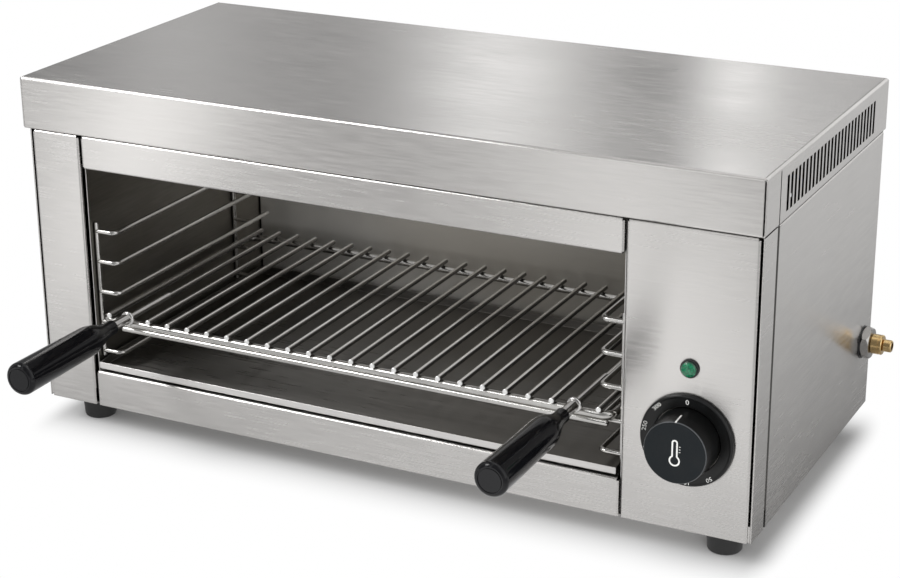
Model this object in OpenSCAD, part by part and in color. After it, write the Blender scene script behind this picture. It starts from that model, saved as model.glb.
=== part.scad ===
// Electric cheese melter: an open-fronted steel cabinet with radiant heaters
// under its roof, wire side racks, a pull-out wire shelf with two grips, a
// drip tray and a control box with a thermostat and a pilot lamp.
// The front faces -Y and the feet stand on z = 0. The origin is under the
// centre of the space that the whole object takes up.

/* [Hood] */
// Width of the hood
hood_w = 600; // [540:1:660]
// Depth of the hood
hood_d = 280; // [270:1:330]
// Height of the hood's skirt
hood_h = 41; // [36:1:55]
// Thickness of the outer sheet
sheet_t = 1; // [0.8:0.1:1.2]
// Outer radius of the hood's top bends
bend_r = 2.6; // [1.6:0.1:4]
// Outer radius of the other bends
edge_r = 1.8; // [1.4:0.1:2.4]
// Width of the return under the hood's skirt
return_w = 12; // [10:1:16]
// Length of the tab on the hood's side, ahead of its slots
tab_w = 28; // [20:1:36]
// Width of an open seam between two sheets
seam = 1.5; // [0.6:0.1:1.5]
// Number of vent slots on each side
slot_count = 26; // [12:1:27]
// Spacing of the vent slots
slot_pitch = 8; // [7:0.1:8.2]
// Width of a vent slot
slot_w = 4.6; // [3:0.1:5]
// Height of a vent slot
slot_h = 25; // [18:1:28]
// Distance from the front to the first vent slot
slot_start = 42; // [39:1:46]

/* [Cabinet] */
// Height of the cabinet's walls
body_h = 223; // [205:1:260]
// How far the hood stands out past the left wall
left_inset = 6; // [2:1:9]
// Width of the flanges that join the sheets
flange_w = 13; // [10:1:15]
// Width of the post beside the left end of the opening
stile_w = 45.5; // [34:0.5:60]
// Gap between that post and the fascia
stile_gap = 2; // [2:0.5:5]
// Width of the control panel
control_w = 97; // [90:1:120]
// Gap between the fascia and the control panel
panel_gap = 1.5; // [1.5:0.5:4]
// Height of the fascia over the opening
fascia_h = 26; // [22:1:36]
// Height of the sill under the opening
sill_h = 29.5; // [24:0.5:36]
// How far the back panel lies inside the hood
back_inset = 3; // [2.5:0.5:6]
// Gap between sheets that are welded or screwed together
fit_gap = 0.1; // [0.05:0.05:0.2]

/* [Cooking space] */
// Thickness of the lining
liner_t = 0.8; // [0.6:0.1:1]
// Distance from the front to the lining's front edge
liner_front = 4; // [3:0.5:8]
// Distance from the lining's back wall to the back panel's outer face
liner_back = 28; // [20:1:34]
// Height of the roof panel's folded edges
roof_fold = 10; // [6:1:11]
// Width of the rails that carry the drip tray
rail_w = 12; // [8:1:16]
// Height of those rails over the sill
rail_rise = 1.4; // [0.6:0.1:2]

/* [Racks] */
// Number of rack levels
level_count = 5; // [3:1:5]
// Spacing of the rack levels
level_pitch = 25; // [22:0.5:26]
// Height of the lowest runner over the cabinet's floor
level_base = 44.2; // [42:0.1:50]
// Level that the shelf lies on, counted from 0
shelf_level = 1; // [1:1:2]
// Diameter of a runner
runner_d = 4; // [3:0.1:4.5]
// Diameter of the rack's upright wires
upright_d = 3.5; // [3:0.1:4]
// How far a runner stands off its upright
runner_reach = 17; // [13:0.5:20]
// Distance from the front to the rack's front upright
rack_front = 10; // [9:0.5:14]
// How far a runner runs on past its rear cross wire
runner_tail = 26; // [12:1:34]
// How far a runner runs on past the shelf's rear bar
runner_over = 12; // [8:1:18]

/* [Shelf] */
// Diameter of the frame's bar
bar_d = 6; // [5:0.1:7]
// Diameter of the rods
rod_d = 4; // [3.4:0.1:4.6]
// Largest spacing of the rods
rod_pitch = 18.5; // [16:0.1:22]
// Distance from the frame's side bar to the first rod
rod_margin = 8; // [7:0.5:10]
// Gap between the shelf and the lining at each side
shelf_gap = 5; // [4.6:0.1:6]
// Distance from the front to the centre of the front bar
bar_front = 3.5; // [3:0.1:5]
// Distance from the back of the lining to the shelf's rear bar
shelf_rear_gap = 29.5; // [20:0.5:40]
// Bend radius of the frame, along its centre
frame_r = 8; // [7:0.5:12]
// How far a rod stands out ahead of the front bar
rod_nose = 1.5; // [0.5:0.1:2.5]
// How far a rod stands out behind the rear bar
rod_tail = 3.5; // [1:0.1:5]
// Diameter of the brace under the front bar
brace_d = 5; // [4:0.1:6]
// Running gap between a sliding part and its support
slide_gap = 0.3; // [0.2:0.05:0.5]

/* [Handles] */
// Length of a grip
grip_l = 116; // [95:1:130]
// Diameter of a grip at its butt
grip_d = 25; // [22:0.5:30]
// Diameter of a grip's neck
neck_d = 11.4; // [11.2:0.1:13]
// Diameter of the rod in the handle
core_d = 5.5; // [5:0.1:6]
// Diameter of the ferrule
ferrule_d = 8.6; // [8:0.1:9.5]
// Length of the ferrule
ferrule_l = 18.5; // [12:0.5:26]
// Diameter of the wire of the collar
collar_d = 3; // [2.4:0.1:3.4]
// How far the handle's rod runs back over the shelf
core_back = 52; // [40:1:70]
// How deep the handle's rod sits in the grip
core_depth = 80; // [60:1:86]

/* [Drip tray] */
// Height of the tray's front lip
lip_h = 6; // [5:0.1:8]
// Height of the tray's side and rear walls
tray_wall = 8; // [7:0.1:9]
// Gap between the tray and the lining at each side
tray_gap = 2.4; // [1:0.1:4]
// Distance from the front to the tray's lip
tray_front = 1; // [0.6:0.1:3]
// Distance from the tray to the back of the lining
tray_rear_gap = 6; // [4:0.5:12]

/* [Heaters] */
// Diameter of a heater's tube
heater_d = 8; // [6.5:0.1:9]
// Distance between the two runs of a heater
heater_span = 44; // [36:1:50]
// Distance from the front to the first heater
heater_front_y = 58; // [50:1:66]
// Distance from the first heater to the second
heater_step = 96; // [90:1:104]
// Distance from the roof panel to a heater's centre
heater_drop = 7.5; // [6.5:0.5:8]
// Length of a heater's end beyond the lining
heater_tail = 22; // [18:1:28]

/* [Controls] */
// Height of the knob's axis over the cabinet's floor
knob_z = 70; // [60:1:80]
// Height of the lamp over the cabinet's floor
lamp_z = 123; // [117:1:140]
// Diameter of the knob's face
knob_d = 46; // [40:0.5:50]
// Depth of the knob
knob_h = 23.5; // [19:0.5:27]
// Diameter of the dial ring
dial_d = 68; // [62:1:76]
// Thickness of the dial ring at its rim
dial_t = 3.6; // [3:0.1:5]
// Diameter of the lamp's lens
lens_d = 12; // [10:0.5:14]
// Diameter of the thermostat's shaft
shaft_d = 6; // [5:0.5:7]
// Running clearance of a turning shaft, on the radius
run_gap = 0.05; // [0.02:0.01:0.1]

/* [Feet] */
// Height of the feet
foot_h = 22; // [18:1:30]
// Diameter of a foot at its top
foot_d = 28; // [24:1:34]
// Distance from a foot's centre to the cabinet's faces
foot_inset = 28; // [26:1:40]

/* [Cable gland] */
// Distance from the cabinet's back to the gland
gland_back = 22; // [20:1:32]
// Height of the gland over the cabinet's floor
gland_z = 58; // [45:1:90]
// Diameter of the gland's barrel
gland_d = 14; // [12:0.5:14.5]
// Size of its locknut across the flats
gland_af = 23; // [21:0.5:26]
// Thickness of its locknut
gland_nut_h = 6.5; // [5:0.5:8]
// Diameter of its brass collar
gland_collar_d = 15.6; // [15.4:0.1:18]
// Length of its brass collar
gland_collar_l = 9; // [7:0.5:12]
// Diameter of its outer nipple
gland_nipple_d = 9.6; // [9.2:0.1:12]
// Length of its outer nipple
gland_nipple_l = 7; // [5:0.5:10]
// Diameter of the passage for the mains lead
gland_bore_d = 6; // [5:0.5:6.5]

/* [Hidden] */
$fn = 48;
eps = 0.01;

// Reach of the parts that stand out past the hood
washer_t = 0.8;
gland_reach = washer_t + gland_nut_h + gland_collar_l + gland_nipple_l;
handle_reach = bar_d / 2 - bar_front + collar_d + ferrule_l + grip_l;

// Outer faces of the hood and the cabinet
left_x = -(hood_w + gland_reach) / 2;
right_x = left_x + hood_w;
front_y = (handle_reach - hood_d) / 2;
back_y = front_y + hood_d;
body_x0 = left_x + left_inset;
floor_z = foot_h;
body_z1 = floor_z + body_h;
top_z = body_z1 + hood_h;
panel_y = back_y - back_inset;

// Opening in the front
stile_x1 = body_x0 + stile_w;
open_x0 = stile_x1 + stile_gap;
control_x0 = right_x - control_w;
open_x1 = control_x0 - panel_gap;
sill_z = floor_z + sill_h;
fascia_z = body_z1 - fascia_h;

// Lining of the cooking space, inner faces
cav_x0 = open_x0 + 0.5;
cav_x1 = open_x1 - 0.5;
cav_y0 = front_y + liner_front;
cav_y1 = panel_y - liner_back;
roof_z = body_z1 - roof_fold - 2;
roof_y0 = front_y + sheet_t + flange_w + 1.5;
base_z1 = floor_z + sheet_t;
rear_flange_y = panel_y - 2 * sheet_t;
tail_y = rear_flange_y - sheet_t - 2 * fit_gap;

// Racks and shelf
runner_z = floor_z + level_base + level_pitch * shelf_level;
bar_z = runner_z + runner_d / 2 + slide_gap + bar_d / 2;
rod_z = bar_z + (bar_d + rod_d) / 2;
bar_y0 = front_y + bar_front;
bar_y1 = cav_y1 - shelf_rear_gap;
bar_x0 = cav_x0 + shelf_gap + bar_d / 2;
bar_x1 = cav_x1 - shelf_gap - bar_d / 2;
rod_span = bar_x1 - bar_x0 - 2 * rod_margin;
rod_gaps = ceil(rod_span / rod_pitch);
rod_step = rod_span / rod_gaps;
function rod_x(i) = bar_x0 + rod_margin + i * rod_step;

// Handles, each in line with the second rod from its end
core_z = bar_z + (bar_d + core_d) / 2;
handle_rod = [1, rod_gaps - 1];
handle_x = [for (i = handle_rod) rod_x(i)];
core_y1 = bar_y0 + core_back;
bar_face_y = bar_y0 - bar_d / 2;
ferrule_y = bar_face_y - collar_d;
neck_y = ferrule_y - ferrule_l;

// Heaters and controls
heater_z = roof_z - heater_drop;
control_x = (control_x0 + right_x) / 2;
dial_z = floor_z + knob_z;
pilot_z = floor_z + lamp_z;
panel_back_y = front_y + sheet_t;
thermo_w = 36;
thermo_d = 30;
thermo_screw_x = 14;
m4_d = 4;
tab_l = 7;

// Feet, gland and fasteners
foot_x = [body_x0 + foot_inset, right_x - foot_inset];
foot_y = [front_y + foot_inset, panel_y - foot_inset];
m5_d = 5;
hole_gap = 0.2;
gland_cy = panel_y - gland_back;
gland_cz = floor_z + gland_z;
gland_wall_x = right_x - sheet_t;

steel = [0.74, 0.73, 0.71];
dark_steel = [0.35, 0.34, 0.33];
chrome = [0.85, 0.85, 0.86];
black = [0.06, 0.06, 0.07];
brass = [0.78, 0.6, 0.28];

// ---- Helpers ----

// Extrudes a profile drawn in X and Z along Y
module along_y(y0, l) translate([0, y0 + l, 0]) rotate([90, 0, 0]) linear_extrude(l) children();

// Extrudes a profile drawn in Y and Z along X
module along_x(x0, l) translate([x0, 0, 0]) rotate([90, 0, 90]) linear_extrude(l) children();

// Extrudes a profile drawn in X and Y along Z
module along_z(z0, l) translate([0, 0, z0]) linear_extrude(l) children();

// A box between two corners
module block(a, b) translate(a) cube(b - a);

// Turns a shape built along Z so that it runs along +X, +Y or -Y from a point
module face_right(p) translate(p) rotate([0, 90, 0]) children();
module face_back(p) translate(p) rotate([-90, 0, 0]) children();
module face_front(p) translate(p) rotate([90, 0, 0]) children();

// Folded angle in 2D: leg a along +X, leg b along +Y, outer corner at the origin
module angle_2d(a, b, t = sheet_t, r = edge_r) {
    translate([r, 0]) square([a - r, t]);
    translate([0, r]) square([t, b - r]);
    intersection() {
        square(r);
        translate([r, r]) difference() {
            circle(r);
            circle(r - t);
        }
    }
}

// Folded channel in 2D: web w along +X, flanges a and b along +Y at its ends
module channel_2d(w, a, b, t = sheet_t, r = edge_r) {
    angle_2d(w - r, a, t, r);
    translate([w, 0]) mirror([1, 0]) angle_2d(w - r, b, t, r);
}

// Rectangle in 2D with lower corners of radius rb and upper corners of radius rt
module round_rect(x0, x1, z0, z1, rb, rt) {
    translate([x0, z0 + rb]) square([x1 - x0, z1 - z0 - rb - rt]);
    translate([x0 + rb, z0]) square([x1 - x0 - 2 * rb, rb + eps]);
    translate([x0 + rt, z1 - rt - eps]) square([x1 - x0 - 2 * rt, rt + eps]);
    for (x = [x0 + rb, x1 - rb]) translate([x, z0 + rb]) circle(rb);
    for (x = [x0 + rt, x1 - rt]) translate([x, z1 - rt]) circle(rt);
}

// Solid inside of a folded box: rounded along its long edges, mitred at its corners
module fold_block(a, b, rb, rt) {
    intersection() {
        along_y(a.y, b.y - a.y) round_rect(a.x, b.x, a.z, b.z, rb, rt);
        along_x(a.x, b.x - a.x) round_rect(a.y, b.y, a.z, b.z, rb, rt);
    }
}

// Open tray folded from one sheet: floor at a.z, walls up to b.z
module fold_tray(a, b, t, r) {
    difference() {
        fold_block(a, [b.x, b.y, b.z + 2 * r], r, r);
        fold_block(a + [t, t, t], [b.x - t, b.y - t, b.z + 4 * r], r - t, r - t);
        block([a.x - 1, a.y - 1, b.z], [b.x + 1, b.y + 1, b.z + 5 * r]);
    }
}

function unit(v) = v / norm(v);

// How much of a leg a bend of radius r takes at point i
function bend_cut(p, i, r) =
    (i == 0 || i == len(p) - 1) ? 0
    : r * tan(acos(unit(p[i] - p[i - 1]) * unit(p[i + 1] - p[i])) / 2);

// Straight round bar between two points
module bar(a, b, d) {
    v = b - a;
    translate(a) rotate([0, acos(v.z / norm(v)), atan2(v.y, v.x)]) cylinder(d = d, h = norm(v));
}

// Round wire of diameter d through the points p, bent with centre radius r
module bent_wire(p, d, r) {
    for (i = [0 : len(p) - 2]) {
        u = unit(p[i + 1] - p[i]);
        bar(p[i] + u * bend_cut(p, i, r), p[i + 1] - u * bend_cut(p, i + 1, r), d);
    }
    for (i = [1 : 1 : len(p) - 2]) {
        e = unit(p[i] - p[i - 1]);
        f = unit(p[i + 1] - p[i]);
        n = unit(cross(e, f));
        o = -cross(n, e);
        c = p[i] - e * bend_cut(p, i, r) - o * r;
        multmatrix([
            [o.x, e.x, n.x, c.x],
            [o.y, e.y, n.y, c.y],
            [o.z, e.z, n.z, c.z],
            [0, 0, 0, 1],
        ]) rotate_extrude(angle = acos(e * f)) translate([r, 0]) circle(d = d);
    }
}

// Round bar from z = 0 to l with a chamfer c at both ends
module chamfered(d, l, c) {
    rotate_extrude() polygon([
        [0, 0], [d / 2 - c, 0], [d / 2, c], [d / 2, l - c], [d / 2 - c, l], [0, l],
    ]);
}

// Hexagonal nut from z = 0 to h with chamfered corners and a bore
module hex_nut(af, h, bore) {
    corner = af / sqrt(3);
    chamfer = corner - af / 2;
    difference() {
        intersection() {
            cylinder(r = corner, h = h, $fn = 6);
            rotate_extrude() polygon([
                [0, 0], [af / 2, 0], [corner, chamfer], [corner, h - chamfer], [af / 2, h], [0, h],
            ]);
        }
        translate([0, 0, -1]) cylinder(d = bore, h = h + 2);
    }
}

// Pan-head screw: the head rises from z = 0, the shank goes down to -l
module pan_screw(d, l) {
    head_r = d;
    head_h = 0.5 * d;
    rotate_extrude() polygon(concat(
        [[0, -l], [d / 2 - 0.3, -l], [d / 2, 0.3 - l], [d / 2, 0], [head_r, 0]],
        [for (i = [0 : 6]) [
            head_r * 0.7 + head_r * 0.3 * cos(15 * i),
            head_h * 0.3 + head_h * 0.7 * sin(15 * i),
        ]],
        [[0, head_h]]
    ));
}

// ---- Outer sheets ----

// How far the hood's front sheet and the cabinet's front sheets end inside an open corner
corner_gap = sheet_t + seam / 2;
post_gap = sheet_t + seam;

// Hood: one sheet folded down on four sides, with open front corners, seams
// behind the side tabs and a row of vent slots on each side
module hood() {
    a = [left_x, front_y, body_z1];
    b = [right_x, back_y, top_z];
    t = sheet_t * [1, 1, 1];
    slot_z = body_z1 + 0.4 * (hood_h - slot_h);
    color(steel) difference() {
        fold_block(a, b, edge_r, bend_r);
        fold_block(a + t, b - t, edge_r - sheet_t, bend_r - sheet_t);
        block([a.x + return_w, a.y + return_w, a.z - 1], [b.x - return_w, b.y - return_w, a.z + 2 * sheet_t]);
        for (x = [left_x, right_x]) {
            block([x - corner_gap, a.y - 1, a.z - 1], [x + corner_gap, a.y + sheet_t, b.z + 1]);
            block([x - edge_r, a.y + tab_w, a.z - 1], [x + edge_r, a.y + tab_w + seam, b.z - bend_r]);
            for (i = [0 : slot_count - 1])
                translate([x - edge_r, a.y + slot_start + i * slot_pitch, slot_z])
                    cube([2 * edge_r, slot_w, slot_h]);
        }
    }
}

// Floor of the cabinet, with the foot holes, vents under the control box and
// reliefs in its front flange behind the two gaps of the front
module base_pan() {
    vent_count = 7;
    vent_step = 8;
    relief_y1 = panel_back_y + fit_gap + edge_r + 0.5;
    relief_in = edge_r + fit_gap + 0.2;
    color(steel) difference() {
        fold_tray(
            [body_x0 + sheet_t + fit_gap, panel_back_y + fit_gap, floor_z],
            [right_x - sheet_t - fit_gap, rear_flange_y - fit_gap, floor_z + flange_w],
            sheet_t, edge_r
        );
        for (x = foot_x, y = foot_y)
            translate([x, y, floor_z - 1]) cylinder(d = m5_d + 2 * hole_gap, h = sheet_t + 2);
        for (x = [[stile_x1 - 0.6, open_x0 + relief_in], [open_x1 - relief_in, control_x0 + 0.6]])
            block([x[0], front_y, floor_z - 1], [x[1], relief_y1, floor_z + flange_w + 1]);
        for (i = [0 : vent_count - 1])
            translate([control_x + (i - vent_count / 2) * vent_step, front_y + hood_d / 2 - 20, floor_z - 1])
                cube([slot_w, 40, sheet_t + 2]);
    }
}

// Places of the screws that hold the back panel, in X and Z
screw_x = [body_x0 + flange_w / 2 + 1, right_x - flange_w / 2 - 1];
screw_z = [for (i = [0 : 2]) floor_z + 30 + i * (body_h - 60) / 2];

// Side wall drawn as the left one: wall, top flange, front flange and rear
// flange; the front flange stays clear of the floor's
module side_wall() {
    wall_y0 = front_y + tab_w + seam;
    relief = 0.5;
    flange_z = floor_z + flange_w + fit_gap;
    difference() {
        union() {
            along_y(wall_y0 + edge_r, rear_flange_y - relief - wall_y0 - edge_r)
                translate([0, body_z1]) mirror([0, 1]) angle_2d(flange_w, body_h);
            along_z(flange_z, body_z1 - sheet_t - flange_z)
                translate([0, wall_y0]) angle_2d(flange_w, 3 * edge_r);
            block([0, wall_y0, floor_z], [sheet_t, wall_y0 + 3 * edge_r, flange_z]);
            along_z(floor_z, body_h - sheet_t)
                translate([0, panel_y - sheet_t]) mirror([0, 1]) angle_2d(flange_w, 3 * edge_r);
        }
        for (z = screw_z) face_back([flange_w / 2 + 1, rear_flange_y - 1, z])
            cylinder(d = m4_d + 2 * hole_gap, h = sheet_t + 2);
    }
}

module side_left() color(steel) translate([body_x0, 0, 0]) side_wall();

// Right wall, with the gland's hole
module side_right() color(steel) difference() {
    translate([right_x, 0, 0]) mirror([1, 0, 0]) side_wall();
    face_right([gland_wall_x - 1, gland_cy, gland_cz]) cylinder(d = gland_d + 2 * hole_gap, h = sheet_t + 2);
}

// Back panel, with vents behind the control box
module back_panel() {
    vent_count = 8;
    vent_h = 46;
    color(steel) difference() {
        block([body_x0 + 1, panel_y - sheet_t, floor_z], [right_x - 1, panel_y, body_z1]);
        for (x = screw_x, z = screw_z) face_back([x, panel_y - sheet_t - 1, z])
            cylinder(d = m4_d + 2 * hole_gap, h = sheet_t + 2);
        for (i = [0 : vent_count - 1], j = [0, 1])
            translate([
                control_x + (i - vent_count / 2) * slot_pitch,
                panel_y - sheet_t - 1,
                floor_z + body_h / 2 - vent_h - 6 + j * (vent_h + 12),
            ]) cube([slot_w, sheet_t + 2, vent_h]);
    }
}

module back_screws() color(chrome) for (x = screw_x, z = screw_z)
    face_back([x, panel_y, z]) pan_screw(m4_d, 6);

// Tab beside a front corner, drawn for the right one, with a flange along its
// rear edge; the floor's flange passes through its notch
module corner_post() difference() {
    along_z(floor_z, body_h) translate([0, front_y + tab_w]) mirror([1, 0]) mirror([0, 1])
        angle_2d(flange_w, tab_w - sheet_t - fit_gap);
    block([-2 * flange_w, front_y, floor_z - 1], [-sheet_t - fit_gap / 2, back_y, floor_z + flange_w + fit_gap]);
}

module corner_post_right() color(steel) translate([right_x, 0, 0]) corner_post();
module corner_post_left() color(steel) translate([body_x0, 0, 0]) mirror([1, 0, 0]) corner_post();

// Cuts the notch of a front sheet's returns, where the floor's flange passes
module return_notch(x0, x1)
    block([x0, panel_back_y, floor_z - 1], [x1, back_y, floor_z + flange_w + fit_gap]);

// Front sheet beside the opening, drawn from the fold at x = 0 to the right:
// folded back along both sides and under the hood
module front_sheet(w) {
    along_z(floor_z, body_h - edge_r) translate([0, front_y]) channel_2d(w, flange_w, flange_w);
    along_x(edge_r, w - 2 * edge_r) translate([front_y, body_z1])
        mirror([0, 1]) angle_2d(flange_w, body_h / 2);
}

// Front sheet left of the opening
module front_stile() color(steel) difference() {
    translate([stile_x1, 0, 0]) mirror([1, 0, 0]) front_sheet(stile_w - post_gap);
    return_notch(body_x0, open_x0);
}

// Sheet over or under the opening: a folded profile whose flanges stay between
// the linings, with short returns at both ends, between heights z0 and z1
module front_rail(z0, z1) difference() {
    union() {
        along_x(open_x0 + edge_r, open_x1 - open_x0 - 2 * edge_r) children();
        along_z(z0, z1 - z0) translate([open_x0, front_y])
            channel_2d(open_x1 - open_x0, liner_front - 1, liner_front - 1);
    }
    for (x = [[open_x0 - 1, cav_x0 + fit_gap], [cav_x1 - fit_gap, open_x1 + 1]])
        block([x[0], front_y + liner_front - 1, floor_z - 1], [x[1], back_y, top_z]);
}

module front_fascia() color(steel) front_rail(fascia_z + edge_r, body_z1 - edge_r)
    translate([front_y, fascia_z]) mirror([1, -1, 0]) channel_2d(fascia_h, flange_w, flange_w);

module front_sill() color(steel) front_rail(floor_z, sill_z - edge_r)
    translate([front_y, sill_z]) mirror([0, 1]) angle_2d(flange_w, sill_h);

// Control panel: front sheet folded back beside the opening, with its holes
module control_panel() color(steel) difference() {
    translate([control_x0, 0, 0]) front_sheet(control_w - post_gap);
    return_notch(open_x1, right_x);
    face_back([control_x, front_y - 1, dial_z]) cylinder(d = shaft_d + 4, h = sheet_t + 2);
    for (s = [-1, 1]) face_back([control_x + s * thermo_screw_x, front_y - 1, dial_z])
        cylinder(d = m4_d + 2 * hole_gap, h = sheet_t + 2);
    face_back([control_x, front_y - 1, pilot_z]) cylinder(d = lens_d, h = sheet_t + 2);
}

// ---- Lining of the cooking space ----

// Side lining drawn as the left one, with its foot on the cabinet's floor
module lining() along_y(cav_y0, tail_y - cav_y0)
    translate([0, base_z1]) mirror([1, 0]) angle_2d(flange_w, body_z1 - 2 - base_z1, liner_t);

module cavity_left() color(dark_steel) translate([cav_x0, 0, 0]) lining();

// Ends of the heaters' runs
heater_y = [for (i = [0, 1], j = [0, 1]) front_y + heater_front_y + i * heater_step + j * heater_span];
bulb_y = heater_y[1] + heater_step / 2 - heater_span / 2;
bulb_z = heater_z - 20;

// Right lining, with holes for the heaters' ends and the sensor's tube
module cavity_right() color(dark_steel) difference() {
    translate([cav_x1, 0, 0]) mirror([1, 0, 0]) lining();
    for (y = heater_y) face_right([cav_x1 - 1, y, heater_z])
        cylinder(d = heater_d + 2 * hole_gap, h = liner_t + 2);
    face_right([cav_x1 - 1, bulb_y, bulb_z]) cylinder(d = 4, h = liner_t + 2);
}

module cavity_back() color(dark_steel) along_z(base_z1, body_z1 - 2 - base_z1)
    translate([cav_x0 + fit_gap, cav_y1])
        channel_2d(cav_x1 - cav_x0 - 2 * fit_gap, tail_y - cav_y1, tail_y - cav_y1, liner_t);

// Polished roof that throws the heat down
module cavity_roof() color(steel) fold_tray(
    [cav_x0 + fit_gap, roof_y0, roof_z],
    [cav_x1 - fit_gap, cav_y1 - fit_gap, roof_z + roof_fold],
    liner_t, edge_r
);

// ---- Racks and tray rails ----

// Wire rack drawn for the left wall: two uprights and the runners bent out from them
module rack() {
    upright_x = upright_d / 2;
    runner_x = upright_x + runner_reach;
    y0 = front_y + rack_front;
    y1 = bar_y1 + runner_over;
    cross_y = y1 - runner_tail;
    z0 = floor_z + level_base;
    rack_h = (level_count - 1) * level_pitch;
    bend = 5;
    for (y = [y0, cross_y]) bar([upright_x, y, z0 - runner_d], [upright_x, y, z0 + rack_h + 7], upright_d);
    for (i = [0 : level_count - 1]) {
        z = z0 + i * level_pitch;
        bent_wire([[upright_x, y0, z], [runner_x, y0, z], [runner_x, y1, z]], runner_d, bend);
        bar([upright_x, cross_y, z], [runner_x, cross_y, z], runner_d - 0.5);
    }
}

module rack_left() color(chrome) translate([cav_x0, 0, 0]) rack();
module rack_right() color(chrome) translate([cav_x1, 0, 0]) mirror([1, 0, 0]) rack();

// Rail that carries the drip tray, drawn for the left wall
module tray_rail() along_y(front_y + flange_w + seam, cav_y1 - front_y - flange_w - 2 * seam)
    translate([fit_gap, sill_z + rail_rise]) mirror([0, 1]) angle_2d(rail_w, rail_w);

module tray_rail_left() color(steel) translate([cav_x0, 0, 0]) tray_rail();
module tray_rail_right() color(steel) translate([cav_x1, 0, 0]) mirror([1, 0, 0]) tray_rail();

// ---- Heaters ----

// Hairpin heater: a sheathed tube with an insulator and a pin at each end
module heater(y0) {
    insulator_l = 4;
    pin_l = 7;
    x0 = cav_x0 + 20;
    x1 = cav_x1 + liner_t + heater_tail - insulator_l - pin_l;
    y1 = y0 + heater_span;
    bent_wire(
        [[x1, y0, heater_z], [x0, y0, heater_z], [x0, y1, heater_z], [x1, y1, heater_z]],
        heater_d, heater_span / 2 - 2
    );
    for (y = [y0, y1]) face_right([x1, y, heater_z]) {
        cylinder(d = heater_d - 2, h = insulator_l);
        chamfered(heater_d / 2, insulator_l + pin_l, 0.4);
    }
}

module heater_front() color(dark_steel) heater(heater_y[0]);
module heater_rear() color(dark_steel) heater(heater_y[2]);

// Nuts and collars that clamp the heaters' ends in the right lining
module heater_nuts() color(chrome) for (y = heater_y) {
    face_right([cav_x1 + liner_t, y, heater_z]) hex_nut(heater_d + 6, 4.5, heater_d + fit_gap);
    face_right([cav_x1 - 2, y, heater_z]) difference() {
        cylinder(d = heater_d + 5, h = 2);
        translate([0, 0, -1]) cylinder(d = heater_d + fit_gap, h = 4);
    }
}

// Strips under the roof that carry the heaters' runs
module heater_hangers() color(dark_steel) for (s = [0.25, 0.72])
    translate([cav_x0 + s * (cav_x1 - cav_x0), 0, 0]) difference() {
        block([0, heater_y[0] - 10, heater_z - heater_d / 2 - 2], [1.2, heater_y[3] + 10, roof_z]);
        for (y = heater_y) face_right([-1, y, heater_z]) cylinder(d = heater_d + fit_gap, h = 4);
    }

// ---- Thermostat, knob and lamp ----

// Thermostat's case, with the shaft's bearing, its screw holes and its terminals
module thermostat_body() {
    bearing_l = 14;
    color([0.2, 0.2, 0.2]) difference() {
        union() {
            translate([control_x - thermo_w / 2, panel_back_y, dial_z - thermo_w / 2])
                cube([thermo_w, thermo_d, thermo_w]);
            for (x = [-10, 10], z = [-8, 8])
                translate([control_x + x - 3.2, panel_back_y + thermo_d, dial_z + z - 0.4])
                    cube([6.4, tab_l, 0.8]);
        }
        face_back([control_x, panel_back_y - 1, dial_z]) cylinder(d = shaft_d + 2 * run_gap, h = bearing_l + 2);
        for (s = [-1, 1]) face_back([control_x + s * thermo_screw_x, panel_back_y - 1, dial_z])
            cylinder(d = m4_d + fit_gap, h = 9);
    }
}

module thermostat_screws() color(chrome) for (s = [-1, 1])
    face_front([control_x + s * thermo_screw_x, front_y, dial_z]) pan_screw(m4_d, 6);

// Sensor bulb in the cooking space and the thin tube that runs to the thermostat
module sensor_bulb() {
    bulb_d = 6;
    bulb_l = 60;
    tube_d = 1.6;
    bulb_x = cav_x1 - 12;
    back = panel_back_y + thermo_d;
    color([0.72, 0.5, 0.35]) {
        face_front([bulb_x, bulb_y - 10, bulb_z]) chamfered(bulb_d, bulb_l, 1);
        bent_wire([
            [bulb_x, bulb_y - 11, bulb_z], [bulb_x, bulb_y, bulb_z], [control_x - 20, bulb_y, bulb_z],
            [control_x - 20, bulb_y, dial_z], [control_x, bulb_y, dial_z], [control_x, back, dial_z],
        ], tube_d, 6);
    }
}

// Clips that hold the bulb to the right lining
module sensor_clips() color(dark_steel) for (y = [bulb_y - 24, bulb_y - 54]) difference() {
    union() {
        translate([cav_x1 - 12, y, bulb_z - 1.5]) cube([12, 4, 3]);
        face_back([cav_x1 - 12, y, bulb_z]) cylinder(d = 9, h = 4);
    }
    face_back([cav_x1 - 12, y - 1, bulb_z]) cylinder(d = 6 + fit_gap, h = 6);
}

knob_gap = 1;
knob_root_d = knob_d + 2;

// Fixed dial ring around the knob, slightly dished, with a rounded rim
module dial_ring() {
    inner = knob_root_d / 2 + 0.8;
    outer = dial_d / 2;
    rim = 1.4;
    color(black) face_front([control_x, front_y, dial_z]) rotate_extrude($fn = 96) polygon(concat(
        [[inner, 0], [outer, 0]],
        [for (i = [0 : 5]) [outer - rim + rim * cos(18 * i), dial_t - rim + rim * sin(18 * i)]],
        [[outer - 2.4, dial_t - 0.3], [inner + 0.4, dial_t - 1.2], [inner, dial_t - 1.6]]
    ));
}

module thermostat_shaft() color(chrome)
    face_front([control_x, panel_back_y + 13, dial_z]) chamfered(shaft_d, 13 + sheet_t + knob_gap + 16, 0.5);

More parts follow.
